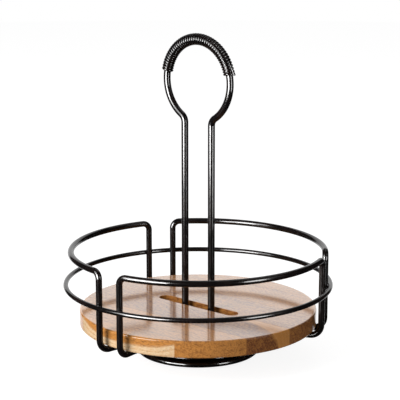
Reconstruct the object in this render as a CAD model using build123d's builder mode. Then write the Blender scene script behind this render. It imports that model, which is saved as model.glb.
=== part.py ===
from build123d import *

import os
from math import acos, atan2, cos, degrees, hypot, radians, sin, sqrt

# A revolving condiment caddy. A round board of glued staves lies inside a wire rail that is
# bent from three wires, on a stamped steel turntable. A keyhole handle with a coil grip stands
# through a slot in the board, and the board lifts off over it.
#
# Millimetres, +Z up. The origin is on the table below the pivot, and the handle lies in the
# XZ plane.

# ---- Wire rail -----------------------------------------------------------------------------
rail_wire = 6.9                  # diameter of the bent rail wires
rail_radius = 140.0              # centreline of the round rail
rail_rise = 89.25                # rail centreline above the turntable plate
rail_names = ("right", "back", "left")
first_gap_angle = -90.0          # the gap at the front; the others follow evenly round
gap_half_angle = 6.07            # from the middle of a gap to the leg beside it
top_bend_radius = 8.0            # centreline radius where a leg turns into the rail
foot_bend_radius = 12.0          # centreline radius where a leg turns in under the board
foot_inner_radius = 38.0         # where the feet end, near the pivot
hoop_wire = 5.4                  # diameter of the lower hoop
hoop_drop = 36.8                 # hoop centreline below the rail's
weld_sink = 0.15                 # how far a resistance weld sinks one wire into the next piece

# ---- Handle --------------------------------------------------------------------------------
handle_wire = 7.7                # diameter of the handle wire
rod_half_spacing = 19.2          # centreline of each rod from the middle
loop_radius = 45.2               # centreline of the round loop
loop_rise = 276.35               # centre of the loop above the turntable plate
neck_bend_radius = 10.0          # centreline radius where a rod turns out into the loop
rod_foot_bend_radius = 8.0       # centreline radius where a rod turns out onto the plate
rod_foot_reach = 46.0            # where the rod's foot ends, from the middle
coil_wire = 2.6                  # diameter of the wire that is wound round the loop
grip_start_angle = 13.6          # the coil's two ends, as angles round the loop from +X
grip_end_angle = 172.5
tail_angle = 27.5                # where the coil's loose end leaves it
tail_length = 15.5
wrap_clearance = 0.03            # between the coil and the wire inside it

# ---- Board ---------------------------------------------------------------------------------
board_clearance = 5.3            # between the board's rim and the legs
board_thickness = 18.5
board_edge_round = 2.2
board_seat_gap = 0.3             # between the board and the wires that it lies on
stave_share = 0.4183             # width of a whole stave against the board's radius
seam_share = -0.0228             # place of the seam nearest the middle, along Y, against the radius
narrowest_share = 0.06           # a narrower strip at the edge is left on its neighbour
slot_length = 112.0
slot_width = 15.0

# ---- Turntable -----------------------------------------------------------------------------
pan_sheet = 1.5                  # sheet thickness of the standing pan
pan_bead_radius = 65.7           # centre of the rolled rim
bead_curl_radius = 2.25          # centreline radius of the rolled rim
hat_rise = 16.4                  # how far the raised middle stands above the pan's floor
hat_top_radius = 38.0
hat_foot_radius = 41.0
pan_corner_radius = 2.5          # centreline radius of the pressed corners
plate_sheet = 2.0                # sheet thickness of the turning plate
plate_flat_radius = 56.5
plate_corner_radius = 4.0        # centreline radius of the plate's turned-down edge
skirt_inset = 3.4                # skirt's lower edge inside the centre of the rolled rim
skirt_gap = 2.0                  # skirt's lower edge above the rolled rim
pad_height = 3.0                 # rubber feet below the pan
pad_radius = 4.5
pad_circle_radius = 46.8
pad_count = 5
pad_edge_round = 0.6

# ---- Ball race and pivot -------------------------------------------------------------------
ball_radius = 3.0
race_radius = 32.0
ball_count = 16
groove_clearance = 0.1           # between a ball and its groove or pocket
groove_depth = 0.6
cage_width = 11.0
cage_thickness = 2.2
bolt_radius = 3.0                # pivot bolt's shank
bolt_clearance = 0.05            # between the shank and what it passes through
bush_wall = 2.0
bush_clearance = 0.08            # running fit of the plate on the bush
plate_end_play = 0.3             # between the plate and the washer above it
washer_radius = 9.0
washer_thickness = 1.2
head_radius = 5.6
head_height = 3.0
head_edge_round = 1.0
socket_width = 4.0               # hexagon socket across flats
socket_depth = 1.8
nut_width = 10.0                 # across flats
nut_height = 5.0
thread_end = 1.8                 # bolt standing out below the nut

# ---- Heights that follow -------------------------------------------------------------------
pan_floor = pad_height + pan_sheet / 2  # the sheet's middle
hat_middle = pan_floor + hat_rise
hat_top = hat_middle + pan_sheet / 2
ball_height = hat_top + ball_radius + groove_clearance - groove_depth
plate_underside = ball_height + ball_radius + groove_clearance - groove_depth
plate_top = plate_underside + plate_sheet
bead_top = pan_floor + 2 * bead_curl_radius + pan_sheet / 2
skirt_bottom = bead_top + skirt_gap
foot_height = plate_top + rail_wire / 2 - weld_sink
board_bottom = foot_height + rail_wire / 2 + board_seat_gap
rail_height = plate_top + rail_rise
hoop_height = rail_height - hoop_drop
loop_height = plate_top + loop_rise
rod_foot_height = plate_top + handle_wire / 2 - weld_sink

# ---- Radii and angles that follow ----------------------------------------------------------
gap_spacing = 360.0 / len(rail_names)
leg_radius = hypot(rail_radius, top_bend_radius)  # a leg stands one bend back from the rail
corner_angle = degrees(atan2(top_bend_radius, rail_radius))
board_radius = leg_radius - rail_wire / 2 - board_clearance
hoop_radius = leg_radius + (rail_wire + hoop_wire) / 2 - weld_sink
stave_width = stave_share * board_radius
stave_seam = seam_share * board_radius
grip_radius = handle_wire / 2 + coil_wire
bush_radius = bolt_radius + bolt_clearance + bush_wall

os.makedirs("parts", exist_ok=True)


def write(part, name):
    """Label a finished piece and write it under that name."""
    part.label = name
    export_step(part, f"parts/{name}.step")


def around(radius, angle, height):
    """A point at this radius and angle round the pivot."""
    return Vector(radius * cos(radians(angle)), radius * sin(radians(angle)), height)


# ---- Pan that stands on the table ----------------------------------------------------------
with BuildPart() as base_pan:
    with BuildSketch(Plane.XZ):
        with BuildLine():
            FilletPolyline(
                (bolt_radius + bolt_clearance, hat_middle),
                (hat_top_radius, hat_middle),
                (hat_foot_radius, pan_floor),
                (pan_bead_radius, pan_floor),
                radius=pan_corner_radius,
            )
            CenterArc((pan_bead_radius, pan_floor + bead_curl_radius), bead_curl_radius, -90, 270)
        trace(line_width=pan_sheet)
    revolve(axis=Axis.Z)
    with BuildSketch(Plane.XZ):
        with Locations((race_radius, ball_height)):
            Circle(ball_radius + groove_clearance)
    revolve(axis=Axis.Z, mode=Mode.SUBTRACT)
write(base_pan.part, "base_pan")

# ---- Rubber feet under the pan -------------------------------------------------------------
with BuildPart() as rubber_feet:
    with BuildSketch():
        with PolarLocations(pad_circle_radius, pad_count, start_angle=first_gap_angle):
            Circle(pad_radius)
    extrude(amount=pad_height)
    fillet(rubber_feet.edges().group_by(Axis.Z)[0], radius=pad_edge_round)
write(rubber_feet.part, "rubber_feet")

# ---- Balls and their cage ------------------------------------------------------------------
with BuildPart() as bearing_balls:
    with Locations((0, 0, ball_height)):
        with PolarLocations(race_radius, ball_count):
            Sphere(ball_radius)
write(bearing_balls.part, "bearing_balls")

with BuildPart() as ball_cage:
    with BuildSketch(Plane.XY.offset(ball_height - cage_thickness / 2)):
        Circle(race_radius + cage_width / 2)
        Circle(race_radius - cage_width / 2, mode=Mode.SUBTRACT)
        with PolarLocations(race_radius, ball_count):
            Circle(ball_radius + groove_clearance, mode=Mode.SUBTRACT)
    extrude(amount=cage_thickness)
write(ball_cage.part, "ball_cage")

# ---- Plate that turns on the balls ---------------------------------------------------------
with BuildPart() as turntable_plate:
    with BuildSketch(Plane.XZ):
        with BuildLine():
            FilletPolyline(
                (bush_radius + bush_clearance, plate_top - plate_sheet / 2),
                (plate_flat_radius, plate_top - plate_sheet / 2),
                (pan_bead_radius - skirt_inset, skirt_bottom),
                radius=plate_corner_radius,
            )
        trace(line_width=plate_sheet)
    revolve(axis=Axis.Z)
    with BuildSketch(Plane.XZ):
        with Locations((race_radius, ball_height)):
            Circle(ball_radius + groove_clearance)
    revolve(axis=Axis.Z, mode=Mode.SUBTRACT)
write(turntable_plate.part, "turntable_plate")

# ---- Pivot: bush, washer, bolt and nut -----------------------------------------------------
washer_bottom = plate_top + plate_end_play
head_bottom = washer_bottom + washer_thickness
nut_top = hat_middle - pan_sheet / 2

with BuildPart() as pivot_bush:
    with BuildSketch(Plane.XY.offset(hat_top)):
        Circle(bush_radius)
        Circle(bolt_radius + bolt_clearance, mode=Mode.SUBTRACT)
    extrude(amount=washer_bottom - hat_top)
write(pivot_bush.part, "pivot_bush")

with BuildPart() as pivot_washer:
    with BuildSketch(Plane.XY.offset(washer_bottom)):
        Circle(washer_radius)
        Circle(bolt_radius + bolt_clearance, mode=Mode.SUBTRACT)
    extrude(amount=washer_thickness)
write(pivot_washer.part, "pivot_washer")

with BuildPart() as pivot_bolt:
    with BuildSketch(Plane.XY.offset(nut_top - nut_height - thread_end)):
        Circle(bolt_radius)
    extrude(amount=head_bottom - (nut_top - nut_height - thread_end))
    with BuildSketch(Plane.XY.offset(head_bottom)):
        Circle(head_radius)
    extrude(amount=head_height)
    fillet(pivot_bolt.edges().group_by(Axis.Z)[-1], radius=head_edge_round)
    with BuildSketch(Plane.XY.offset(head_bottom + head_height)):
        RegularPolygon(socket_width / 2, 6, major_radius=False)
    extrude(amount=-socket_depth, mode=Mode.SUBTRACT)
write(pivot_bolt.part, "pivot_bolt")

with BuildPart() as pivot_nut:
    with BuildSketch(Plane.XY.offset(nut_top - nut_height)):
        RegularPolygon(nut_width / 2, 6, major_radius=False)
        Circle(bolt_radius + bolt_clearance, mode=Mode.SUBTRACT)
    extrude(amount=nut_height)
write(pivot_nut.part, "pivot_nut")


# ---- Rail wires ----------------------------------------------------------------------------
def leg_points(angle, turn):
    """Foot end, two ends of the foot bend, top of the leg, and where the round rail begins.

    turn is +1 where the rail runs anticlockwise from this leg, and -1 where it runs clockwise.
    """
    return [
        around(foot_inner_radius, angle, foot_height),
        around(leg_radius - foot_bend_radius, angle, foot_height),
        around(leg_radius, angle, foot_height + foot_bend_radius),
        around(leg_radius, angle, rail_height - top_bend_radius),
        around(rail_radius, angle + turn * corner_angle, rail_height),
    ]


for index, name in enumerate(rail_names):
    first_leg = first_gap_angle + index * gap_spacing + gap_half_angle
    last_leg = first_gap_angle + (index + 1) * gap_spacing - gap_half_angle
    start = leg_points(first_leg, 1)
    end = leg_points(last_leg, -1)
    middle = around(rail_radius, (first_leg + last_leg) / 2, rail_height)
    arrival = around(1, last_leg - corner_angle + 90, 0)
    with BuildPart() as rail:
        with BuildLine():
            Line(start[0], start[1])
            TangentArc(start[1], start[2], tangent=start[1] - start[0])
            Line(start[2], start[3])
            TangentArc(start[3], start[4], tangent=(0, 0, 1))
            ThreePointArc(start[4], middle, end[4])
            TangentArc(end[4], end[3], tangent=arrival)
            Line(end[3], end[2])
            TangentArc(end[2], end[1], tangent=(0, 0, -1))
            Line(end[1], end[0])
        with BuildSketch(Plane(origin=start[0], z_dir=start[1] - start[0])):
            Circle(rail_wire / 2)
        sweep()
    write(rail.part, f"rail_wire_{name}")

# ---- Lower hoop, welded round the outside of the legs --------------------------------------
with BuildPart() as hoop:
    with BuildSketch(Plane.XZ):
        with Locations((hoop_radius, hoop_height)):
            Circle(hoop_wire / 2)
    revolve(axis=Axis.Z)
write(hoop.part, "hoop_wire")

# ---- Handle wire ---------------------------------------------------------------------------
# Each neck bend touches the loop where a line joins their centres.
neck_x = rod_half_spacing + neck_bend_radius
neck_z = loop_height - sqrt((loop_radius + neck_bend_radius) ** 2 - neck_x**2)
neck_sweep = degrees(acos(neck_x / (loop_radius + neck_bend_radius)))
foot_x = rod_half_spacing + rod_foot_bend_radius
rod_start = rod_foot_height + rod_foot_bend_radius

with BuildPart() as handle:
    with BuildLine(Plane.XZ):
        Line((-rod_foot_reach, rod_foot_height), (-foot_x, rod_foot_height))
        CenterArc((-foot_x, rod_start), rod_foot_bend_radius, -90, 90)
        Line((-rod_half_spacing, rod_start), (-rod_half_spacing, neck_z))
        CenterArc((-neck_x, neck_z), neck_bend_radius, 0, neck_sweep)
        CenterArc((0, loop_height), loop_radius, 180 + neck_sweep, -180 - 2 * neck_sweep)
        CenterArc((neck_x, neck_z), neck_bend_radius, 180 - neck_sweep, neck_sweep)
        Line((rod_half_spacing, neck_z), (rod_half_spacing, rod_start))
        CenterArc((foot_x, rod_start), rod_foot_bend_radius, 180, 90)
        Line((foot_x, rod_foot_height), (rod_foot_reach, rod_foot_height))
    with BuildSketch(Plane(origin=(-rod_foot_reach, 0, rod_foot_height), z_dir=(1, 0, 0))):
        Circle(handle_wire / 2)
    sweep()
write(handle.part, "handle_wire")

# ---- Coil grip: the closed coil's outer shape, with its loose end ----------------------------
tail_radius = loop_radius + grip_radius - coil_wire / 2
tail_start = (
    tail_radius * cos(radians(tail_angle)),
    loop_height + tail_radius * sin(radians(tail_angle)),
)
tail_tip = (
    tail_start[0] + tail_length * sin(radians(tail_angle)),
    tail_start[1] - tail_length * cos(radians(tail_angle)),
)
grip_tangent = (sin(radians(grip_start_angle)), 0, -cos(radians(grip_start_angle)))

with BuildPart() as grip:
    with BuildLine(Plane.XZ) as grip_path:
        CenterArc((0, loop_height), loop_radius, grip_start_angle, grip_end_angle - grip_start_angle)
    with BuildSketch(Plane(origin=grip_path.line @ 0, z_dir=grip_path.line % 0)):
        Circle(grip_radius)
        Circle(handle_wire / 2 + wrap_clearance, mode=Mode.SUBTRACT)
    sweep()
    with BuildLine(Plane.XZ) as tail_path:
        Line(tail_start, tail_tip)
    with BuildSketch(Plane(origin=tail_path.line @ 0, z_dir=tail_path.line % 0)):
        Circle(coil_wire / 2)
    sweep()
write(grip.part, "handle_grip")

# ---- Board of glued staves -----------------------------------------------------------------
with BuildPart() as board:
    with BuildSketch(Plane.XY.offset(board_bottom)):
        Circle(board_radius)
    extrude(amount=board_thickness)
    rim_edges = board.edges().filter_by(GeomType.CIRCLE)
    fillet(rim_edges, radius=board_edge_round)
    with BuildSketch(Plane.XY.offset(board_bottom)):
        SlotOverall(slot_length, slot_width)
    extrude(amount=board_thickness, mode=Mode.SUBTRACT)

board_staves = {"front": -1, "back": 1}
for side, way in board_staves.items():
    inner = stave_seam
    number = 1
    while abs(inner) < board_radius:
        outer = stave_seam + way * number * stave_width
        if abs(outer) > (1 - narrowest_share) * board_radius:
            outer = way * board_radius
        with BuildPart() as stave:
            add(board.part)
            with BuildSketch(Plane.XY.offset(board_bottom)):
                with Locations((0, (inner + outer) / 2)):
                    Rectangle(2 * board_radius, abs(outer - inner))
            extrude(amount=board_thickness, mode=Mode.INTERSECT)
        write(stave.part, f"board_stave_{side}_{number}")
        inner = outer
        number += 1
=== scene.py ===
"""A revolving condiment caddy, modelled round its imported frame.

Metres, +Z up. The origin is on the table below the pivot, and the handle lies in the XZ plane.
"""

import math

import bpy
from mathutils import Matrix, Vector


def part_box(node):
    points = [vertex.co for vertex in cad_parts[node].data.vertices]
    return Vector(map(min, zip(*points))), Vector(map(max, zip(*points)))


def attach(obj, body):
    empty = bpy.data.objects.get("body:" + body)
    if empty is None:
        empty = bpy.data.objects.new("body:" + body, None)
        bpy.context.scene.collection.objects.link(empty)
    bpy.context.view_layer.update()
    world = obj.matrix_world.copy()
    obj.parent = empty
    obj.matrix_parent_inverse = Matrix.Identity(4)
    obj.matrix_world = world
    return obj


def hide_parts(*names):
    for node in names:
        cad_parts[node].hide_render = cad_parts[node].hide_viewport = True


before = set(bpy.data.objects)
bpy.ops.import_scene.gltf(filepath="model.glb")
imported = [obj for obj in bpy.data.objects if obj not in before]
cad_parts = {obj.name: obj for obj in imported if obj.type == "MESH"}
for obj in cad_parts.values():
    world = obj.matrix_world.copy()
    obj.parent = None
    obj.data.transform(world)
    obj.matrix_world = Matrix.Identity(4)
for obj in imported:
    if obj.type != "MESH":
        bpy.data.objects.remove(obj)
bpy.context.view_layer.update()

bl_info = {
    "name": "Revolving condiment caddy",
    "version": (1, 0, 0),
    "blender": (4, 5, 0),
    "location": "3D View > Sidebar > Caddy",
    "description": "Bent-wire caddy with a glued round board, a keyhole handle and a ball-bearing base",
    "category": "Object",
}

UP = Vector((0, 0, 1))
RIGHT = Vector((1, 0, 0))
TINY = 1e-6
CLOSE = 1e-5
FULL_TURN = 2 * math.pi
QUARTER_TURN = math.pi / 2
RAIL_WIRE = 0.0069
HANDLE_WIRE = 0.0077
LOOP_RADIUS = 0.0452

hoop_low, hoop_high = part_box("hoop_wire")
rail_low, rail_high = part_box("rail_wire_back")
handle_low, handle_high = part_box("handle_wire")
board_low, board_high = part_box("board_stave_front_1")
edge_low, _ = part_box("board_stave_front_3")
_, plate_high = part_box("turntable_plate")


# ---- Sizes and colours that a user would change -----------------------------------------------
def length(name, text, value):
    """A size property in metres."""
    return bpy.props.FloatProperty(name=name, description=text, default=value, unit="LENGTH", precision=5)


def angle(name, text, degrees):
    """An angle property, given in degrees."""
    return bpy.props.FloatProperty(name=name, description=text, default=math.radians(degrees),
                                   subtype="ANGLE", unit="ROTATION")


def tint(name, text, value):
    """A colour property, in linear light."""
    return bpy.props.FloatVectorProperty(name=name, description=text, default=value, size=3,
                                         min=0, max=1, subtype="COLOR")


def amount(name, text, value):
    """A plain number property."""
    return bpy.props.FloatProperty(name=name, description=text, default=value)


class RailSizes(bpy.types.PropertyGroup):
    """Rail wires and the hoop below them."""
    wire: length("Rail wire", "Diameter of the bent rail wires", RAIL_WIRE)
    radius: length("Rail radius", "Centreline radius of the round rail", 0.140)
    height: length("Rail height", "Centreline of the rail above the table", rail_high.z - RAIL_WIRE / 2)
    top_bend: length("Top bend", "Centreline radius where a leg turns into the rail", 0.008)
    foot_bend: length("Foot bend", "Centreline radius where a leg turns in under the board", 0.012)
    foot_end: length("Foot end", "Radius at which the feet end under the board", 0.038)
    foot_height: length("Foot height", "Centreline of the feet above the table", rail_low.z + RAIL_WIRE / 2)
    first_gap: angle("First gap", "Direction of the gap at the front", -90)
    gap_half: angle("Half gap", "From the middle of a gap to the leg beside it", 6.07)
    hoop_wire: length("Hoop wire", "Diameter of the lower hoop", hoop_high.z - hoop_low.z)
    hoop_height: length("Hoop height", "Centreline of the hoop", (hoop_high.z + hoop_low.z) / 2)
    hoop_reach: length("Hoop reach", "Outside radius of the hoop", hoop_high.x)


class HandleSizes(bpy.types.PropertyGroup):
    """Keyhole handle and the coil wound round its loop."""
    wire: length("Handle wire", "Diameter of the handle wire", HANDLE_WIRE)
    rod_spacing: length("Half rod spacing", "From the middle to the centreline of a rod", 0.0192)
    loop_radius: length("Loop radius", "Centreline radius of the loop", LOOP_RADIUS)
    loop_height: length("Loop height", "Centre of the loop", handle_high.z - LOOP_RADIUS - HANDLE_WIRE / 2)
    neck_bend: length("Neck bend", "Centreline radius where a rod turns out into the loop", 0.010)
    foot_bend: length("Rod foot bend", "Centreline radius where a rod turns out onto the plate", 0.008)
    foot_reach: length("Rod foot reach", "From the middle to the end of a rod's foot", 0.046)
    foot_height: length("Rod foot height", "Centreline of the rod feet", handle_low.z + HANDLE_WIRE / 2)
    coil_wire: length("Coil wire", "Diameter of the wire wound round the loop", 0.0026)
    coil_turns: bpy.props.IntProperty(name="Coil turns", description="Turns of the coil", default=41, min=3)
    filled_to: length("Filled to", "Thickness up to which enamel fills the coil's grooves", 0.0107)
    coil_start: angle("Coil start", "Right end of the coil, round the loop from +X", 13.6)
    coil_end: angle("Coil end", "Left end of the coil, round the loop from +X", 170.5)
    tail_angle: angle("Loose end angle", "Where the loose end leaves the coil", 27.5)
    tail_length: length("Loose end length", "Length of the coil's loose end", 0.0145)


class BoardSizes(bpy.types.PropertyGroup):
    """Round board of glued staves."""
    radius: length("Board radius", "Radius of the board", -edge_low.y)
    edge_round: length("Edge rounding", "Rounding of the board's rim", 0.0022)
    slot_length: length("Slot length", "Length of the slot for the handle", 0.112)
    slot_width: length("Slot width", "Width of the slot for the handle", 0.015)
    slot_round: length("Slot rounding", "Rounding of the slot's edges", 0.0007)
    seam_groove: length("Seam groove", "Bevel of the staves' edges at a glue seam", 0.00014)


class CaddyFinishes(bpy.types.PropertyGroup):
    """Colours of the finishes, in linear light."""
    enamel: tint("Enamel", "Black enamel", (0.005, 0.004, 0.004))
    # Warm patches of the enamel: partly its own bronze tint, partly a painted reflection of the wood
    enamel_bronze_and_reflection: tint("Enamel, thin coat", "Enamel where the coat is thin", (0.014, 0.008, 0.007))
    heartwood: tint("Heartwood", "Golden brown heartwood", (0.56, 0.235, 0.052))
    deep_heartwood: tint("Deep heartwood", "Dark brown heartwood", (0.165, 0.050, 0.014))
    sapwood: tint("Sapwood", "Cream sapwood", (0.78, 0.60, 0.38))
    pore: tint("Pores", "Open pores of the wood", (0.045, 0.018, 0.007))
    rubber: tint("Rubber", "Moulded rubber", (0.030, 0.029, 0.028))
    zinc: tint("Zinc", "Zinc plating", (0.62, 0.62, 0.60))
    nylon: tint("Nylon", "Natural nylon", (0.80, 0.78, 0.72))
    steel: tint("Bearing steel", "Polished bearing steel", (0.70, 0.70, 0.71))


class StudioSizes(bpy.types.PropertyGroup):
    """Camera, lamps and ground."""
    turn: angle("Camera turn", "How far the camera stands round to the right of -Y", 41.34)
    lift: angle("Camera lift", "Camera's height as an angle above the aim point", 12.37)
    distance: length("Camera distance", "From the aim point to the camera", 1.582)
    aim_height: length("Aim height", "Height of the aim point", 0.17325)
    aim_side: length("Aim side", "Aim point to the right of the pivot, across the view", 0.0021)
    lens: amount("Lens", "Focal length in millimetres, on a 36 mm sensor", 129.93)
    ground_radius: length("Ground radius", "Radius of the pale ground", 4.0)
    surround: amount("Surround", "Strength of the surround on the object", 0.25)
    drape_radius: length("Drape radius", "Radius of the dark drapes that reflections show", 3.4)
    drape_opening: angle("Drape opening", "Half width of the drapes' opening behind the object", 30)
    drape_foot: amount("Drape foot", "Bottom of the opening, as a share of the drapes' radius", -0.5)
    drape_head: amount("Drape head", "Top of the opening, as a share of the drapes' radius", 0.62)
    lamp_target: length("Lamp target", "Height of the point that the soft boxes face", 0.12)
    ground_glow: amount("Ground glow", "White that the ground adds of its own to what the camera sees", 0.90)


# ---- Picking and finishing meshes -------------------------------------------------------------
def clear_selection():
    bpy.ops.object.select_all(action="DESELECT")


def settle(name):
    """Names the active object and puts its place into its mesh."""
    piece = bpy.context.object
    piece.name = name
    piece.data.name = name
    bpy.ops.object.transform_apply(location=True, rotation=True, scale=True)
    return piece


def edit():
    bpy.ops.object.mode_set(mode="EDIT")
    bpy.ops.mesh.select_mode(type="VERT")
    bpy.ops.mesh.select_all(action="SELECT")


def pick_points(test):
    """Selects the points whose place passes the test, in edit mode."""
    bpy.ops.mesh.select_mode(type="VERT")
    bpy.ops.mesh.select_all(action="DESELECT")
    bpy.ops.object.mode_set(mode="OBJECT")
    for point in bpy.context.object.data.vertices:
        point.select = test(point.co)
    bpy.ops.object.mode_set(mode="EDIT")


def pick_edges(test):
    """Selects the edges whose two ends pass the test, in edit mode."""
    bpy.ops.mesh.select_mode(type="EDGE")
    bpy.ops.mesh.select_all(action="DESELECT")
    bpy.ops.object.mode_set(mode="OBJECT")
    mesh = bpy.context.object.data
    for edge in mesh.edges:
        edge.select = test(*(mesh.vertices[number].co for number in edge.vertices))
    bpy.ops.object.mode_set(mode="EDIT")


def pick_sharp(degrees):
    bpy.ops.mesh.select_mode(type="EDGE")
    bpy.ops.mesh.select_all(action="DESELECT")
    bpy.ops.mesh.edges_select_sharp(sharpness=math.radians(degrees))


def face_outwards():
    bpy.ops.mesh.select_all(action="SELECT")
    bpy.ops.mesh.normals_make_consistent(inside=False)


def activate(piece):
    clear_selection()
    piece.select_set(True)
    bpy.context.view_layer.objects.active = piece


def apply_modifier(piece, kind, **settings):
    activate(piece)
    modifier = piece.modifiers.new(kind.title(), kind)
    for name, value in settings.items():
        setattr(modifier, name, value)
    bpy.ops.object.modifier_apply(modifier=modifier.name)


def even_shading(piece, degrees=35):
    """Smooth curved faces, with flat faces kept flat."""
    activate(piece)
    bpy.ops.object.shade_smooth_by_angle(angle=math.radians(degrees))
    apply_modifier(piece, "WEIGHTED_NORMAL", keep_sharp=True, weight=100)


def lit_collection(name):
    """The pieces of one finish, enamelled or varnished, which some lamps light alone."""
    return bpy.data.collections.get(name) or bpy.data.collections.new(name)


def place(piece, body, slot, material, *nodes):
    """Hands a finished piece to the frame: its body, its finish and the nodes it stands for."""
    lit_collection("enamelled" if slot == "black_enamel" else "varnished").objects.link(piece)
    piece.data.materials.clear()
    piece.data.materials.append(material)
    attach(piece, body)
    if nodes:
        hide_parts(*nodes)
    return piece


def around(radius, turn, height):
    """A point at this radius and angle round the pivot."""
    return Vector((radius * math.cos(turn), radius * math.sin(turn), height))


class Bender:
    """Bends a section as on a bench: straight runs and round turns, one after another."""

    def __init__(self, start, heading):
        self.at = Vector(start)
        self.heading = Vector(heading).normalized()

    def run(self, distance):
        if distance > TINY:
            step = self.heading * distance
            bpy.ops.mesh.extrude_region_move(TRANSFORM_OT_translate={"value": step})
            self.at += step

    def turn(self, axis, sweep, radius, steps):
        axis = Vector(axis).normalized()
        centre = self.at + axis.cross(self.heading) * radius
        bpy.ops.mesh.spin(steps=steps, angle=-sweep, center=centre, axis=axis)
        swing = Matrix.Rotation(sweep, 3, axis)
        self.at = centre + swing @ (self.at - centre)
        self.heading = swing @ self.heading

    def follow(self, *corners):
        """Goes through (corner, bend radius) pairs; the last point has no bend."""
        targets = [corner for corner, _ in corners]
        for (corner, radius), after in zip(corners, targets[1:]):
            ahead = (after - corner).normalized()
            sweep = self.heading.angle(ahead)
            self.run((corner - self.at).length - radius * math.tan(sweep / 2))
            self.turn(self.heading.cross(ahead), sweep, radius, max(6, round(math.degrees(sweep) / 7)))
        self.run((targets[-1] - self.at).length)


def begin_wire(name, start, heading, thickness, sides=32):
    """Adds the round section of a wire, ready to be bent."""
    clear_selection()
    turned = Vector(heading).to_track_quat("Z", "Y").to_euler()
    bpy.ops.mesh.primitive_circle_add(vertices=sides, radius=thickness / 2, location=start, rotation=turned)
    settle(name)
    edit()
    return Bender(start, heading)


def end_wire(cut_round=0.0004):
    """Closes a wire's cut ends, breaks their edges, and leaves edit mode."""
    bpy.ops.mesh.select_all(action="SELECT")
    bpy.ops.mesh.remove_doubles(threshold=TINY)
    bpy.ops.mesh.fill_holes(sides=0)
    pick_sharp(60)
    bpy.ops.mesh.bevel(offset=cut_round, segments=3, affect="EDGES")
    face_outwards()
    bpy.ops.object.mode_set(mode="OBJECT")
    piece = bpy.context.object
    even_shading(piece)
    return piece


# ---- Shader expressions -----------------------------------------------------------------------
class Value:
    """A socket that takes part in Python expressions."""

    def __init__(self, recipe, socket):
        self.recipe, self.socket = recipe, socket

    def _math(self, operation, first, second):
        return self.recipe.node("ShaderNodeMath", {"operation": operation}, {0: first, 1: second})

    def __add__(self, other):
        return self._math("ADD", self, other)

    def __sub__(self, other):
        return self._math("SUBTRACT", self, other)

    def __rsub__(self, other):
        return self._math("SUBTRACT", other, self)

    def __mul__(self, other):
        return self._math("MULTIPLY", self, other)

    def __truediv__(self, other):
        return self._math("DIVIDE", self, other)

    def __pow__(self, other):
        return self._math("POWER", self, other)

    __radd__ = __add__
    __rmul__ = __mul__


class Recipe:
    """The nodes of one material or world."""

    def __init__(self, owner):
        owner.use_nodes = True
        self.owner, self.tree = owner, owner.node_tree
        self.tree.nodes.clear()

    def node(self, kind, settings=None, sockets=None, out=0):
        node = self.tree.nodes.new(kind)
        for name, value in (settings or {}).items():
            if name == "stops":
                self._set_stops(node.color_ramp.elements, value)
            else:
                setattr(node, name, value)
        for name, value in (sockets or {}).items():
            if isinstance(value, Value):
                self.tree.links.new(value.socket, node.inputs[name])
            else:
                node.inputs[name].default_value = value
        return Value(self, node.outputs[out]) if node.outputs else node

    @staticmethod
    def _set_stops(elements, stops):
        while len(elements) < len(stops):
            elements.new(0.5)
        for element, (position, shade) in zip(elements, stops):
            element.position = position
            element.color = (shade, shade, shade, 1)

    def place(self):
        return self.node("ShaderNodeTexCoord", out="Object")

    def stretch(self, vector, scale, move=(0, 0, 0)):
        return self.node("ShaderNodeMapping", {}, {"Vector": vector, "Scale": scale, "Location": move})

    def noise(self, vector, scale=1.0, detail=3.0, roughness=0.55):
        return self.node("ShaderNodeTexNoise", {}, {"Vector": vector, "Scale": scale, "Detail": detail,
                                                    "Roughness": roughness})

    def ramp(self, factor, *stops):
        return self.node("ShaderNodeValToRGB", {"stops": stops}, {"Fac": factor})

    def blend(self, factor, first, second):
        first, second = ((*c, 1) if isinstance(c, tuple) else c for c in (first, second))
        return self.node("ShaderNodeMix", {"data_type": "RGBA"}, {0: factor, 6: first, 7: second}, out=2)

    def split(self, vector):
        return [self.node("ShaderNodeSeparateXYZ", {}, {"Vector": vector}, out=axis) for axis in "XYZ"]

    def bump(self, height, strength, distance):
        return self.node("ShaderNodeBump", {}, {"Height": height, "Strength": strength, "Distance": distance})

    def background_rays(self):
        """The camera's rays, and all the rays that show a background."""
        camera, glossy, transmission = (
            self.node("ShaderNodeLightPath", out=f"Is {kind} Ray")
            for kind in ("Camera", "Glossy", "Transmission"))
        return camera, camera + glossy + transmission

    def finish(self, **sockets):
        """Ends a material in one Principled shader; underscores in names stand for spaces."""
        named = {name.replace("_", " "): value for name, value in sockets.items()}
        shader = self.node("ShaderNodeBsdfPrincipled", {}, named)
        self.node("ShaderNodeOutputMaterial", {}, {"Surface": shader})
        return self.owner


def colour(value):
    return tuple(value)


# ---- Materials --------------------------------------------------------------------------------
def baked_enamel(name, seed=0.0):
    """Satin black enamel, rougher and warmer in patches, with a fine orange peel. The warm patches are partly
    a bronze tint and partly a painted reflection of the wood.
    """
    finishes = bpy.context.scene.caddy_finishes
    recipe = Recipe(bpy.data.materials.new(name))
    spot = recipe.stretch(recipe.place(), (1, 1, 1), (seed, 0, 0))
    patches = recipe.noise(spot, 55, 4, 0.6)
    peel = recipe.noise(spot, 900, 2, 0.5)
    # Warm patches in the base colour: partly a bronze tint, partly a painted reflection of the wood
    reddened = recipe.ramp(patches, (0.42, 0), (0.72, 1))
    coat = recipe.blend(reddened, colour(finishes.enamel), colour(finishes.enamel_bronze_and_reflection))
    return recipe.finish(
        Base_Color=coat,
        Roughness=0.10 + 0.10 * patches,
        Specular_IOR_Level=0.4,
        Normal=recipe.bump(peel, 0.12, 0.0002),
    )


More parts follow.
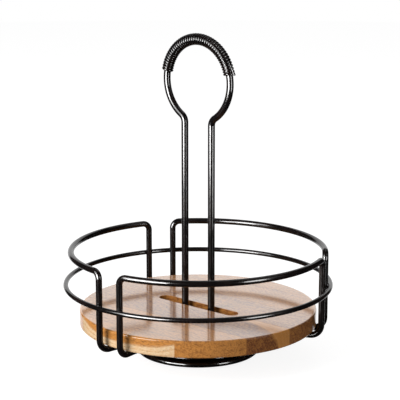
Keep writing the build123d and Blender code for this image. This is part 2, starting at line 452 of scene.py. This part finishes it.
def acacia(name, tone, pith, heart_radius, gold, taper, seed):
    """One stave's wood: growth rings round its own pith, streaky fibre and open pores along X.

    tone runs from 0, golden, to 1, dark. Past heart_radius from the pith the wood is sapwood,
    or golden where gold is 1. With taper at 1, rings and tone both fall away towards -X.
    """
    finishes = bpy.context.scene.caddy_finishes
    golden, dark, sap, pore = (
        colour(c) for c in (finishes.heartwood, finishes.deep_heartwood, finishes.sapwood, finishes.pore))
    recipe = Recipe(bpy.data.materials.new(name))
    spot = recipe.stretch(recipe.place(), (1, 1, 1), (seed, -pith[0], -pith[1]))

    # Distance from the pith, wandering slowly along the stave
    drift = recipe.noise(recipe.stretch(spot, (5, 26, 26)), 1, 2, 0.5)
    along, across, height = recipe.split(spot)
    lean = taper * (along - seed - 0.12)
    depth = (across ** 2 + height ** 2) ** 0.5 + 0.020 * drift - 0.010 + 0.25 * lean

    # Growth rings: a slow rise to dark late wood, then a sharp return
    ring_width = 0.0052
    ring = recipe.node("ShaderNodeMath", {"operation": "FRACT"}, {0: depth / ring_width})
    late = recipe.ramp(ring, (0.0, 0.1), (0.55, 0.25), (0.88, 1.0), (1.0, 0.1))

    broad = recipe.noise(recipe.stretch(spot, (7, 120, 120)), 1, 4, 0.6)
    fine = recipe.noise(recipe.stretch(spot, (22, 650, 650)), 1, 4, 0.65)
    dashes = recipe.noise(recipe.stretch(spot, (95, 1500, 1500)), 1, 2, 0.5)
    flecks = recipe.ramp(recipe.noise(recipe.stretch(spot, (260, 620, 620)), 1, 2, 0.6), (0.46, 0), (0.60, 1))

    shade = tone + 1.3 * lean + 0.30 * late * broad
    shade = shade + 0.75 * (broad - 0.5) + 0.45 * (fine - 0.5) + 0.42 * (flecks - 0.5)
    shade = recipe.ramp(shade, (0.0, 0.0), (1.0, 1.0))
    heart = recipe.blend(shade, golden, dark)
    pale = recipe.blend(0.30 * late + 0.8 * (fine - 0.35) + 0.20 * flecks + gold, sap, golden)
    border = recipe.ramp((depth - heart_radius) * 160 + 0.5 * (broad - 0.5) + 0.5, (0.25, 0), (0.75, 1))
    wood = recipe.blend(border, heart, pale)
    open_pore = recipe.ramp(dashes + 0.10 * (late - 0.5), (0.60, 0), (0.72, 1))
    wood = recipe.blend(0.75 * open_pore, wood, pore)

    return recipe.finish(
        Base_Color=wood,
        Roughness=0.46 + 0.18 * fine,
        Coat_Weight=1.0,
        Coat_Roughness=0.11,
        Specular_IOR_Level=0.15,
        Normal=recipe.bump(0.6 * fine - 0.5 * open_pore, 0.18, 0.0003),
    )


def moulded_rubber():
    finishes = bpy.context.scene.caddy_finishes
    recipe = Recipe(bpy.data.materials.new("moulded_rubber"))
    spot = recipe.place()
    grain = recipe.noise(spot, 1400, 3, 0.6)
    dust = recipe.ramp(recipe.noise(spot, 120, 4, 0.7), (0.45, 0), (0.8, 1))
    return recipe.finish(
        Base_Color=recipe.blend(0.5 * dust, colour(finishes.rubber), (0.09, 0.085, 0.08)),
        Roughness=0.62 + 0.2 * grain,
        Normal=recipe.bump(grain, 0.25, 0.0002),
    )


def zinc_plate():
    finishes = bpy.context.scene.caddy_finishes
    recipe = Recipe(bpy.data.materials.new("zinc_plate"))
    spot = recipe.place()
    cloud = recipe.noise(spot, 420, 5, 0.65)
    lines = recipe.noise(recipe.stretch(spot, (300, 300, 3000)), 1, 3, 0.6)
    return recipe.finish(
        Base_Color=recipe.blend(cloud, colour(finishes.zinc), (0.45, 0.45, 0.42)),
        Metallic=1.0,
        Roughness=0.26 + 0.22 * cloud,
        Normal=recipe.bump(lines, 0.15, 0.0001),
    )


def natural_nylon():
    finishes = bpy.context.scene.caddy_finishes
    recipe = Recipe(bpy.data.materials.new("natural_nylon"))
    spot = recipe.place()
    flow = recipe.noise(spot, 160, 4, 0.6)
    return recipe.finish(
        Base_Color=recipe.blend(flow, colour(finishes.nylon), (0.70, 0.67, 0.58)),
        Roughness=0.42 + 0.12 * flow,
        Normal=recipe.bump(recipe.noise(spot, 1500, 2, 0.5), 0.1, 0.0002),
    )


def bearing_steel():
    finishes = bpy.context.scene.caddy_finishes
    recipe = Recipe(bpy.data.materials.new("bearing_steel"))
    spot = recipe.place()
    film = recipe.noise(spot, 700, 3, 0.6)
    return recipe.finish(
        Base_Color=recipe.blend(0.5 * film, colour(finishes.steel), (0.52, 0.48, 0.42)),
        Metallic=1.0,
        Roughness=0.09 + 0.14 * film,
    )


def repaint(node, material):
    """Gives a CAD node a better material, in place of its plain one."""
    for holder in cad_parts[node].material_slots:
        holder.material = material


# ---- Operators, one for each piece or group of like pieces --------------------------------------
class CADDY_OT_studio(bpy.types.Operator):
    """Add the camera, the ground, the white surround and the lamps"""
    bl_idname = "caddy.studio"
    bl_label = "Studio"

    def execute(self, context):
        studio = context.scene.caddy_studio
        across = Vector((math.cos(studio.turn), math.sin(studio.turn), 0))
        back = Vector((math.sin(studio.turn) * math.cos(studio.lift),
                       -math.cos(studio.turn) * math.cos(studio.lift), math.sin(studio.lift)))
        aim = across * studio.aim_side + UP * studio.aim_height
        clear_selection()
        bpy.ops.object.camera_add(location=aim + back * studio.distance,
                                  rotation=back.to_track_quat("Z", "Y").to_euler())
        camera = context.object
        camera.data.lens = studio.lens
        camera.data.sensor_width = 36
        camera.data.clip_start, camera.data.clip_end = 0.01, 100
        context.scene.camera = camera
        context.scene.view_settings.view_transform = "Standard"

        self.surround(context.scene, studio)
        self.ground(studio)
        toward_camera = math.atan2(back.y, back.x)
        self.drapes(toward_camera + math.pi, studio)
        #    name, degrees left (-) or right (+) of the camera, height angle, distance, width, height, watts
        for name, side, rise, distance, width, tall, watts in (
            ("left_softbox", -58, 24, 2.3, 1.3, 1.3, 60),
            ("right_softbox", 62, 30, 2.5, 1.2, 1.2, 4),
            ("top_softbox", 150, 68, 2.2, 1.6, 1.6, 6),
        ):
            turn, lifted = toward_camera + math.radians(side), math.radians(rise)
            way = around(math.cos(lifted), turn, math.sin(lifted))
            self.add_lamp(name, UP * studio.lamp_target + way * distance, way, width, tall, watts)
        #    lamps that only reflections show, with the height of their middle and the finish that they light
        white, warm_white = (1, 1, 1), (1, 0.96, 0.91)
        for name, side, height, distance, width, tall, watts, tone, lit in (
            ("left_strip", -42, 0.28, 1.1, 0.70, 0.60, 60, white, "enamelled"),
            ("right_strip", 47, 0.22, 1.1, 0.35, 0.60, 14, white, "enamelled"),
            ("sheen_panel", 180, 0.50, 2.0, 2.20, 1.20, 7, warm_white, "varnished"),
        ):
            turn = toward_camera + math.radians(side)
            way = around(1, turn, 0)
            strip = self.add_lamp(name, around(distance, turn, height), way, width, tall, watts)
            strip.data.color = tone
            strip.visible_diffuse = False
            strip.light_linking.receiver_collection = lit_collection(lit)
        return {"FINISHED"}

    @staticmethod
    def add_lamp(name, spot, way, width, tall, watts):
        """A flat lamp at this spot, with its back toward way. The camera doesn't see it."""
        bpy.ops.object.light_add(type="AREA", location=spot, rotation=way.to_track_quat("Z", "Y").to_euler())
        lamp = bpy.context.object
        lamp.name = name
        lamp.data.shape = "RECTANGLE"
        lamp.data.size, lamp.data.size_y = width, tall
        lamp.data.energy = watts
        lamp.visible_camera = False
        return lamp

    @staticmethod
    def surround(scene, studio):
        """White to the camera and in reflections; softer where it lights the object."""
        scene.world = bpy.data.worlds.new("studio_surround")
        recipe = Recipe(scene.world)
        _, seen = recipe.background_rays()
        shown = recipe.node("ShaderNodeMath", {"operation": "MINIMUM"}, {0: seen, 1: 1.0})
        glow = recipe.node("ShaderNodeBackground", {}, {
            "Color": (1, 1, 1, 1), "Strength": studio.surround + (1 - studio.surround) * shown})
        recipe.node("ShaderNodeOutputWorld", {}, {"Surface": glow})
        scene.world.cycles.sampling_method = "NONE"

    @staticmethod
    def drapes(open_turn, studio):
        """Dark drapes round the set, open behind the object. Only reflections show them."""
        clear_selection()
        bpy.ops.mesh.primitive_uv_sphere_add(segments=72, ring_count=36, radius=studio.drape_radius)
        drapes = settle("dark_drapes")
        edit()

        def in_opening(spot):
            aside = abs(math.remainder(math.atan2(spot.y, spot.x) - open_turn, FULL_TURN))
            share = spot.z / studio.drape_radius
            return aside < studio.drape_opening and studio.drape_foot < share < studio.drape_head

        pick_points(in_opening)
        bpy.ops.mesh.delete(type="VERT")
        bpy.ops.object.mode_set(mode="OBJECT")
        recipe = Recipe(bpy.data.materials.new("dark_cloth"))
        cloth = recipe.node("ShaderNodeBsdfDiffuse", {}, {"Color": (0.03, 0.03, 0.03, 1)})
        recipe.node("ShaderNodeOutputMaterial", {}, {"Surface": cloth})
        drapes.data.materials.append(recipe.owner)
        drapes.visible_camera = False
        drapes.visible_diffuse = False
        drapes.visible_shadow = False

    @staticmethod
    def ground(studio):
        bpy.ops.mesh.primitive_circle_add(vertices=96, radius=studio.ground_radius, fill_type="NGON")
        ground = settle("ground")
        recipe = Recipe(bpy.data.materials.new("pale_ground"))
        camera, seen = recipe.background_rays()
        # Pale where it lights the object from below, darker under the glow that the camera sees
        paint = recipe.node("ShaderNodeBsdfDiffuse", {}, {"Color": 0.8 - 0.5 * camera})
        lift = recipe.node("ShaderNodeEmission", {}, {
            "Color": (1, 1, 1, 1), "Strength": studio.ground_glow * seen})
        both = recipe.node("ShaderNodeAddShader", {}, {0: paint, 1: lift})
        recipe.node("ShaderNodeOutputMaterial", {}, {"Surface": both})
        ground.data.materials.append(recipe.owner)
        ground.visible_glossy = False
        ground.visible_shadow = False


class CADDY_OT_rail_wires(bpy.types.Operator):
    """Bend the three rail wires: foot, leg, rail, leg and foot"""
    bl_idname = "caddy.rail_wires"
    bl_label = "Rail wires"

    def execute(self, context):
        sizes = context.scene.caddy_rail
        leg_radius = math.hypot(sizes.radius, sizes.top_bend)
        lead = math.atan2(sizes.top_bend, sizes.radius)
        third = FULL_TURN / 3
        for index, side in enumerate(("right", "back", "left")):
            first = sizes.first_gap + index * third + sizes.gap_half
            last = sizes.first_gap + (index + 1) * third - sizes.gap_half
            start = around(sizes.foot_end, first, sizes.foot_height)
            bender = begin_wire(f"rail_bar_{side}", start, around(1, first, 0), sizes.wire)
            bender.follow(
                (around(leg_radius, first, sizes.foot_height), sizes.foot_bend),
                (around(leg_radius, first, sizes.height), sizes.top_bend),
                (around(sizes.radius, first + lead, sizes.height), 0),
            )
            bender.turn(UP, last - first - 2 * lead, sizes.radius, 56)
            bender.follow(
                (around(leg_radius, last, sizes.height), sizes.top_bend),
                (around(leg_radius, last, sizes.foot_height), sizes.foot_bend),
                (around(sizes.foot_end, last, sizes.foot_height), 0),
            )
            place(end_wire(), "carousel", "black_enamel", baked_enamel(f"rail_enamel_{side}", index),
                  f"rail_wire_{side}")
        return {"FINISHED"}


class CADDY_OT_hoop(bpy.types.Operator):
    """Bend the closed hoop that ties the legs together below the rail"""
    bl_idname = "caddy.hoop"
    bl_label = "Lower hoop"

    def execute(self, context):
        sizes = context.scene.caddy_rail
        radius = sizes.hoop_reach - sizes.hoop_wire / 2
        start = around(radius, 0, sizes.hoop_height)
        bender = begin_wire("lower_hoop", start, around(1, QUARTER_TURN, 0), sizes.hoop_wire, 28)
        bender.turn(UP, FULL_TURN, radius, 200)
        place(end_wire(), "carousel", "black_enamel", baked_enamel("hoop_enamel", 3.3), "hoop_wire")
        return {"FINISHED"}


class CADDY_OT_handle(bpy.types.Operator):
    """Bend the keyhole handle: foot, rod, neck, loop, neck, rod and foot"""
    bl_idname = "caddy.handle"
    bl_label = "Handle"

    def execute(self, context):
        sizes = context.scene.caddy_handle
        reach = sizes.loop_radius + sizes.neck_bend
        neck_x = sizes.rod_spacing + sizes.neck_bend
        neck_height = sizes.loop_height - math.sqrt(reach ** 2 - neck_x ** 2)
        neck_sweep = math.acos(neck_x / reach)
        toward_back = Vector((0, 1, 0))
        start = Vector((-sizes.foot_reach, 0, sizes.foot_height))
        bender = begin_wire("keyhole_handle", start, RIGHT, sizes.wire, 36)
        bender.follow(
            (Vector((-sizes.rod_spacing, 0, sizes.foot_height)), sizes.foot_bend),
            (Vector((-sizes.rod_spacing, 0, neck_height)), 0),
        )
        bender.turn(-toward_back, neck_sweep, sizes.neck_bend, 14)
        bender.turn(toward_back, math.pi + 2 * neck_sweep, sizes.loop_radius, 96)
        bender.turn(-toward_back, neck_sweep, sizes.neck_bend, 14)
        bender.follow(
            (Vector((sizes.rod_spacing, 0, sizes.foot_height)), sizes.foot_bend),
            (Vector((sizes.foot_reach, 0, sizes.foot_height)), 0),
        )
        place(end_wire(), "carousel", "black_enamel", baked_enamel("handle_enamel", 5.1), "handle_wire")
        return {"FINISHED"}


class CADDY_OT_coil_grip(bpy.types.Operator):
    """Wind the coil round the top of the loop, with its loose end at the right"""
    bl_idname = "caddy.coil_grip"
    bl_label = "Coil grip"

    points_per_turn = 18

    def execute(self, context):
        sizes = context.scene.caddy_handle
        middle = UP * sizes.loop_height
        wound_radius = (sizes.wire + sizes.coil_wire) / 2
        count = sizes.coil_turns * self.points_per_turn
        route = []
        for step in range(count + 1):
            share = step / count
            along = sizes.coil_start + (sizes.coil_end - sizes.coil_start) * share
            wind = FULL_TURN * sizes.coil_turns * share
            outward = Vector((math.cos(along), 0, math.sin(along)))
            route.append(middle + outward * (sizes.loop_radius + wound_radius * math.cos(wind))
                         - Vector((0, wound_radius * math.sin(wind), 0)))
        coil = self.wire("grip_coil", route, sizes.coil_wire)

        outward = Vector((math.cos(sizes.tail_angle), 0, math.sin(sizes.tail_angle)))
        downhill = Vector((math.sin(sizes.tail_angle), 0, -math.cos(sizes.tail_angle)))
        rest = middle + outward * (sizes.loop_radius + wound_radius)
        # The loose end starts inside the coil, comes to its surface and lies along it
        sunk = rest - outward * sizes.coil_wire * 0.45 - downhill * sizes.coil_wire * 1.2
        laid = [rest + downhill * distance for distance in (0.0015, 0.006, sizes.tail_length)]
        tail = self.wire("loose_end", [sunk, *laid], sizes.coil_wire)
        filling = self.filling(sizes, middle)
        activate(coil)
        tail.select_set(True)
        filling.select_set(True)
        bpy.ops.object.join()
        even_shading(coil, 40)
        place(coil, "carousel", "black_enamel", baked_enamel("coil_enamel", 7.7), "handle_grip")
        return {"FINISHED"}

    @staticmethod
    def filling(sizes, middle):
        """Enamel that has run into the grooves between the turns."""
        inset = 1.3 * sizes.coil_wire / sizes.loop_radius
        first, last = sizes.coil_start + inset / 2, sizes.coil_end - inset / 2
        outward = Vector((math.cos(first), 0, math.sin(first)))
        onward = Vector((-math.sin(first), 0, math.cos(first)))
        start = middle + outward * sizes.loop_radius
        bender = begin_wire("groove_filling", start, onward, sizes.filled_to, 36)
        bender.turn(Vector((0, -1, 0)), last - first, sizes.loop_radius, 90)
        return end_wire(0.0006)

    @staticmethod
    def wire(name, route, thickness):
        """A round wire along these points, closed at both ends."""
        clear_selection()
        curve = bpy.data.curves.new(name, "CURVE")
        curve.dimensions = "3D"
        curve.bevel_depth = thickness / 2
        curve.bevel_resolution = 3
        curve.use_fill_caps = True
        line = curve.splines.new("POLY")
        line.points.add(len(route) - 1)
        for point, spot in zip(line.points, route):
            point.co = (*spot, 1)
        piece = bpy.data.objects.new(name, curve)
        bpy.context.collection.objects.link(piece)
        activate(piece)
        bpy.ops.object.convert(target="MESH")
        piece = settle(name)
        edit()
        bpy.ops.mesh.remove_doubles(threshold=TINY)
        pick_sharp(60)
        bpy.ops.mesh.bevel(offset=0.00025, segments=2, affect="EDGES")
        face_outwards()
        bpy.ops.object.mode_set(mode="OBJECT")
        return piece


class CADDY_OT_weld_beads(bpy.types.Operator):
    """Add the small beads where the hoop, the feet and the handle are welded"""
    bl_idname = "caddy.weld_beads"
    bl_label = "Weld beads"

    foot_welds = (0.046, 0.055)     # radii of the beads along a rail wire's foot
    rod_weld_inset = 0.008          # from a rod foot's end to its bead

    def execute(self, context):
        rail, handle = context.scene.caddy_rail, context.scene.caddy_handle
        leg_radius = math.hypot(rail.radius, rail.top_bend)
        third = FULL_TURN / 3
        hoop_bead, foot_bead = (0.0026, 0.0026, 0.0011), (0.0012, 0.0042, 0.0022)
        rod_bead = (0.0013, 0.0046, 0.0024)
        beads = []
        for index in range(3):
            for side in (-1, 1):
                turn = rail.first_gap + index * third + side * rail.gap_half
                outward = around(1, turn, 0)
                beads.append((around(leg_radius + rail.wire / 2, turn, rail.hoop_height), outward, hoop_bead))
                for radius in self.foot_welds:
                    beads.append((around(radius, turn, plate_high.z), outward, foot_bead))
        for side in (-1, 1):
            spot = Vector((side * (handle.foot_reach - self.rod_weld_inset), 0, plate_high.z))
            beads.append((spot, RIGHT * side, rod_bead))
        made = [self.bead(number, *bead) for number, bead in enumerate(beads)]
        activate(made[0])
        for bead in made[1:]:
            bead.select_set(True)
        bpy.ops.object.join()
        piece = settle("weld_beads")
        place(piece, "carousel", "black_enamel", baked_enamel("bead_enamel", 9.2))
        return {"FINISHED"}

    @staticmethod
    def bead(number, spot, outward, half_sizes):
        """A flattened drop of weld metal; its third size lies along outward, except on the plate."""
        clear_selection()
        flat = half_sizes[0] < half_sizes[1]
        heading = outward.to_track_quat("X", "Z") if flat else outward.to_track_quat("Z", "Y")
        bpy.ops.mesh.primitive_ico_sphere_add(subdivisions=3, radius=1, location=spot,
                                              rotation=heading.to_euler(), scale=half_sizes)
        piece = settle(f"bead_{number}")
        edit()
        bpy.ops.transform.vertex_random(offset=0.00012, seed=number + 1)
        bpy.ops.mesh.vertices_smooth(factor=0.4, repeat=1)
        face_outwards()
        bpy.ops.object.mode_set(mode="OBJECT")
        bpy.ops.object.shade_smooth()
        return piece


class CADDY_OT_board(bpy.types.Operator):
    """Turn the round board, cut its slot, and part it into its glued staves"""
    bl_idname = "caddy.board"
    bl_label = "Board"

    # Each stave's wood, as acacia takes it: tone, pith (Y, Z), heart_radius, gold, taper and seed along X
    woods = {
        "board_stave_front_3": (0.12, (-0.125, 0.092), 0.046, 0.0, 0.0, 0.0),
        "board_stave_front_2": (0.24, (-0.070, 0.120), 0.140, 0.0, 0.0, 1.7),
        "board_stave_front_1": (0.80, (-0.090, 0.020), 0.077, 0.8, 1.0, 3.1),
        "board_stave_back_1": (0.62, (0.050, 0.070), 0.140, 0.0, 0.5, 4.6),
        "board_stave_back_2": (0.36, (0.080, -0.040), 0.140, 0.0, 0.0, 6.2),
        "board_stave_back_3": (0.30, (0.150, 0.090), 0.140, 0.0, 0.0, 8.3),
    }

    def execute(self, context):
        sizes = context.scene.caddy_board
        blank = self.turned_blank(sizes)
        for node, wood in self.woods.items():
            low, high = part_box(node)
            stave = self.stave(blank, node, low.y, high.y, sizes)
            place(stave, "board", "acacia_wood", acacia(node.replace("board_stave", "acacia"), *wood), node)
        bpy.data.objects.remove(blank)
        return {"FINISHED"}

    @staticmethod
    def turned_blank(sizes):
        """The whole board with its rounded rim and its slot."""
        clear_selection()
        thickness = board_high.z - board_low.z
        middle = UP * (board_high.z + board_low.z) / 2
        bpy.ops.mesh.primitive_cylinder_add(
            vertices=256, radius=sizes.radius, depth=thickness, location=middle)
        blank = settle("board_blank")
        edit()
        pick_sharp(60)
        bpy.ops.mesh.bevel(offset=sizes.edge_round, segments=6, affect="EDGES")
        bpy.ops.object.mode_set(mode="OBJECT")

        clear_selection()
        bpy.ops.mesh.primitive_cylinder_add(vertices=64, radius=sizes.slot_width / 2, depth=2 * thickness,
                                            location=middle)
        cutter = settle("slot_cutter")
        edit()
        half_run = (sizes.slot_length - sizes.slot_width) / 2
        for side in (-1, 1):
            pick_points(lambda spot: spot.x * side > TINY)
            bpy.ops.transform.translate(value=(side * half_run, 0, 0))
        bpy.ops.object.mode_set(mode="OBJECT")
        apply_modifier(blank, "BOOLEAN", operation="DIFFERENCE", solver="EXACT", object=cutter)
        bpy.data.objects.remove(cutter)

        activate(blank)
        edit()

        def on_slot_edge(*ends):
            off_line = [math.hypot(max(abs(spot.x) - half_run, 0), spot.y) for spot in ends]
            on_wall = all(abs(distance - sizes.slot_width / 2) < CLOSE for distance in off_line)
            faces = (board_low.z, board_high.z)
            return on_wall and any(all(abs(spot.z - face) < CLOSE for spot in ends) for face in faces)

        pick_edges(on_slot_edge)
        bpy.ops.mesh.bevel(offset=sizes.slot_round, segments=4, affect="EDGES")
        bpy.ops.object.mode_set(mode="OBJECT")
        return blank

    @staticmethod
    def stave(blank, node, low, high, sizes):
        """The part of the blank between two seams, with its seam edges broken."""
        activate(blank)
        bpy.ops.object.duplicate()
        piece = settle(node.replace("board_stave", "stave"))
        edit()
        seams = [y for y in (low, high) if abs(y) < sizes.radius - 0.001]
        for seam in seams:
            bpy.ops.mesh.select_all(action="SELECT")
            bpy.ops.mesh.bisect(plane_co=(0, seam, 0), plane_no=(0, 1, 0), use_fill=True,
                                clear_inner=seam == low, clear_outer=seam == high)
        for seam in seams:
            pick_edges(lambda *ends: all(abs(spot.y - seam) < CLOSE for spot in ends))
            bpy.ops.mesh.bevel(offset=sizes.seam_groove, segments=1, affect="EDGES")
        face_outwards()
        bpy.ops.object.mode_set(mode="OBJECT")
        even_shading(piece)
        return piece


class CADDY_OT_base_finishes(bpy.types.Operator):
    """Finish the pan, the plate, the rubber feet, the ball race and the pivot"""
    bl_idname = "caddy.base_finishes"
    bl_label = "Turntable finishes"

    def execute(self, context):
        enamel = baked_enamel("base_enamel", 11.0)
        zinc = zinc_plate()
        for node, material in (
            ("base_pan", enamel), ("turntable_plate", enamel), ("rubber_feet", moulded_rubber()),
            ("pivot_bush", zinc), ("pivot_washer", zinc), ("pivot_bolt", zinc), ("pivot_nut", zinc),
            ("ball_cage", natural_nylon()), ("bearing_balls", bearing_steel()),
        ):
            repaint(node, material)
        for node in ("base_pan", "turntable_plate"):
            lit_collection("enamelled").objects.link(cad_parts[node])
        return {"FINISHED"}


class CADDY_PT_panel(bpy.types.Panel):
    """Lists the caddy's sizes and the operators that build it"""
    bl_idname = "CADDY_PT_panel"
    bl_label = "Condiment caddy"
    bl_space_type = "VIEW_3D"
    bl_region_type = "UI"
    bl_category = "Caddy"

    def draw(self, context):
        for group in GROUPS:
            sizes = getattr(context.scene, group)
            box = self.layout.box()
            for name in sizes.__annotations__:
                box.prop(sizes, name)
        for operator in OPERATORS:
            self.layout.operator(operator.bl_idname)


GROUPS = {
    "caddy_rail": RailSizes,
    "caddy_handle": HandleSizes,
    "caddy_board": BoardSizes,
    "caddy_finishes": CaddyFinishes,
    "caddy_studio": StudioSizes,
}
OPERATORS = (
    CADDY_OT_studio,
    CADDY_OT_rail_wires,
    CADDY_OT_hoop,
    CADDY_OT_handle,
    CADDY_OT_coil_grip,
    CADDY_OT_weld_beads,
    CADDY_OT_board,
    CADDY_OT_base_finishes,
)


def register():
    for kind in (*GROUPS.values(), *OPERATORS, CADDY_PT_panel):
        bpy.utils.register_class(kind)
    for name, kind in GROUPS.items():
        setattr(bpy.types.Scene, name, bpy.props.PointerProperty(type=kind))


def unregister():
    for name in GROUPS:
        delattr(bpy.types.Scene, name)
    for kind in (CADDY_PT_panel, *reversed(OPERATORS), *reversed(GROUPS.values())):
        bpy.utils.unregister_class(kind)


def main():
    register()
    bpy.ops.caddy.studio()
    bpy.ops.caddy.rail_wires()
    bpy.ops.caddy.hoop()
    bpy.ops.caddy.handle()
    bpy.ops.caddy.coil_grip()
    bpy.ops.caddy.weld_beads()
    bpy.ops.caddy.board()
    bpy.ops.caddy.base_finishes()


if __name__ == "__main__":
    main()
